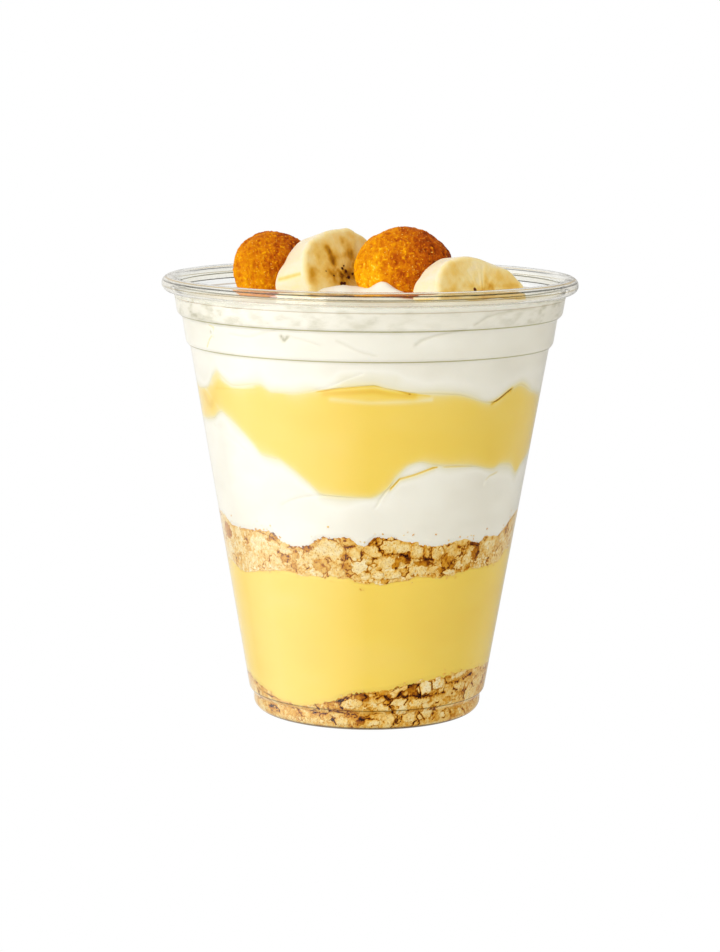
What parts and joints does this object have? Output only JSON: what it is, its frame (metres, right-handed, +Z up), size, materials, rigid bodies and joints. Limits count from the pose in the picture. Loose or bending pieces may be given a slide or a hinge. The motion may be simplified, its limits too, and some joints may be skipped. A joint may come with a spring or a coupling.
{
  "type": "banana parfait",
  "caption": "Layered dessert in a clear plastic cup: biscuit crumbs, custard and whipped cream, with small round wafers and thick banana slices stood in the cream on top.",
  "frame": {"origin": "middle of the foot on the surface the cup stands on", "axes": "+Z up along the cup's axis, -Y the front"},
  "size_m": [0.098, 0.098, 0.1156],
  "materials": {
    "clear_plastic": "clear, glossy, thin formed plastic",
    "crumb": "dry broken biscuit, matte and porous",
    "custard": "smooth custard, soft sheen",
    "cream": "soft whipped cream, satin",
    "wafer": "browned biscuit with a rough, lightly sugared dome",
    "banana": "moist cut fruit, satin"
  },
  "bodies": {
    "root": {"cup": "clear_plastic", "crumbs_bottom": "crumb", "custard_lower": "custard", "crumbs_middle": "crumb", "cream_lower": "cream", "custard_upper": "custard", "cream_top": "cream", "wafer_left": "wafer", "wafer_right": "wafer", "banana_left": "banana", "banana_right": "banana"}
  },
  "joints": []
}
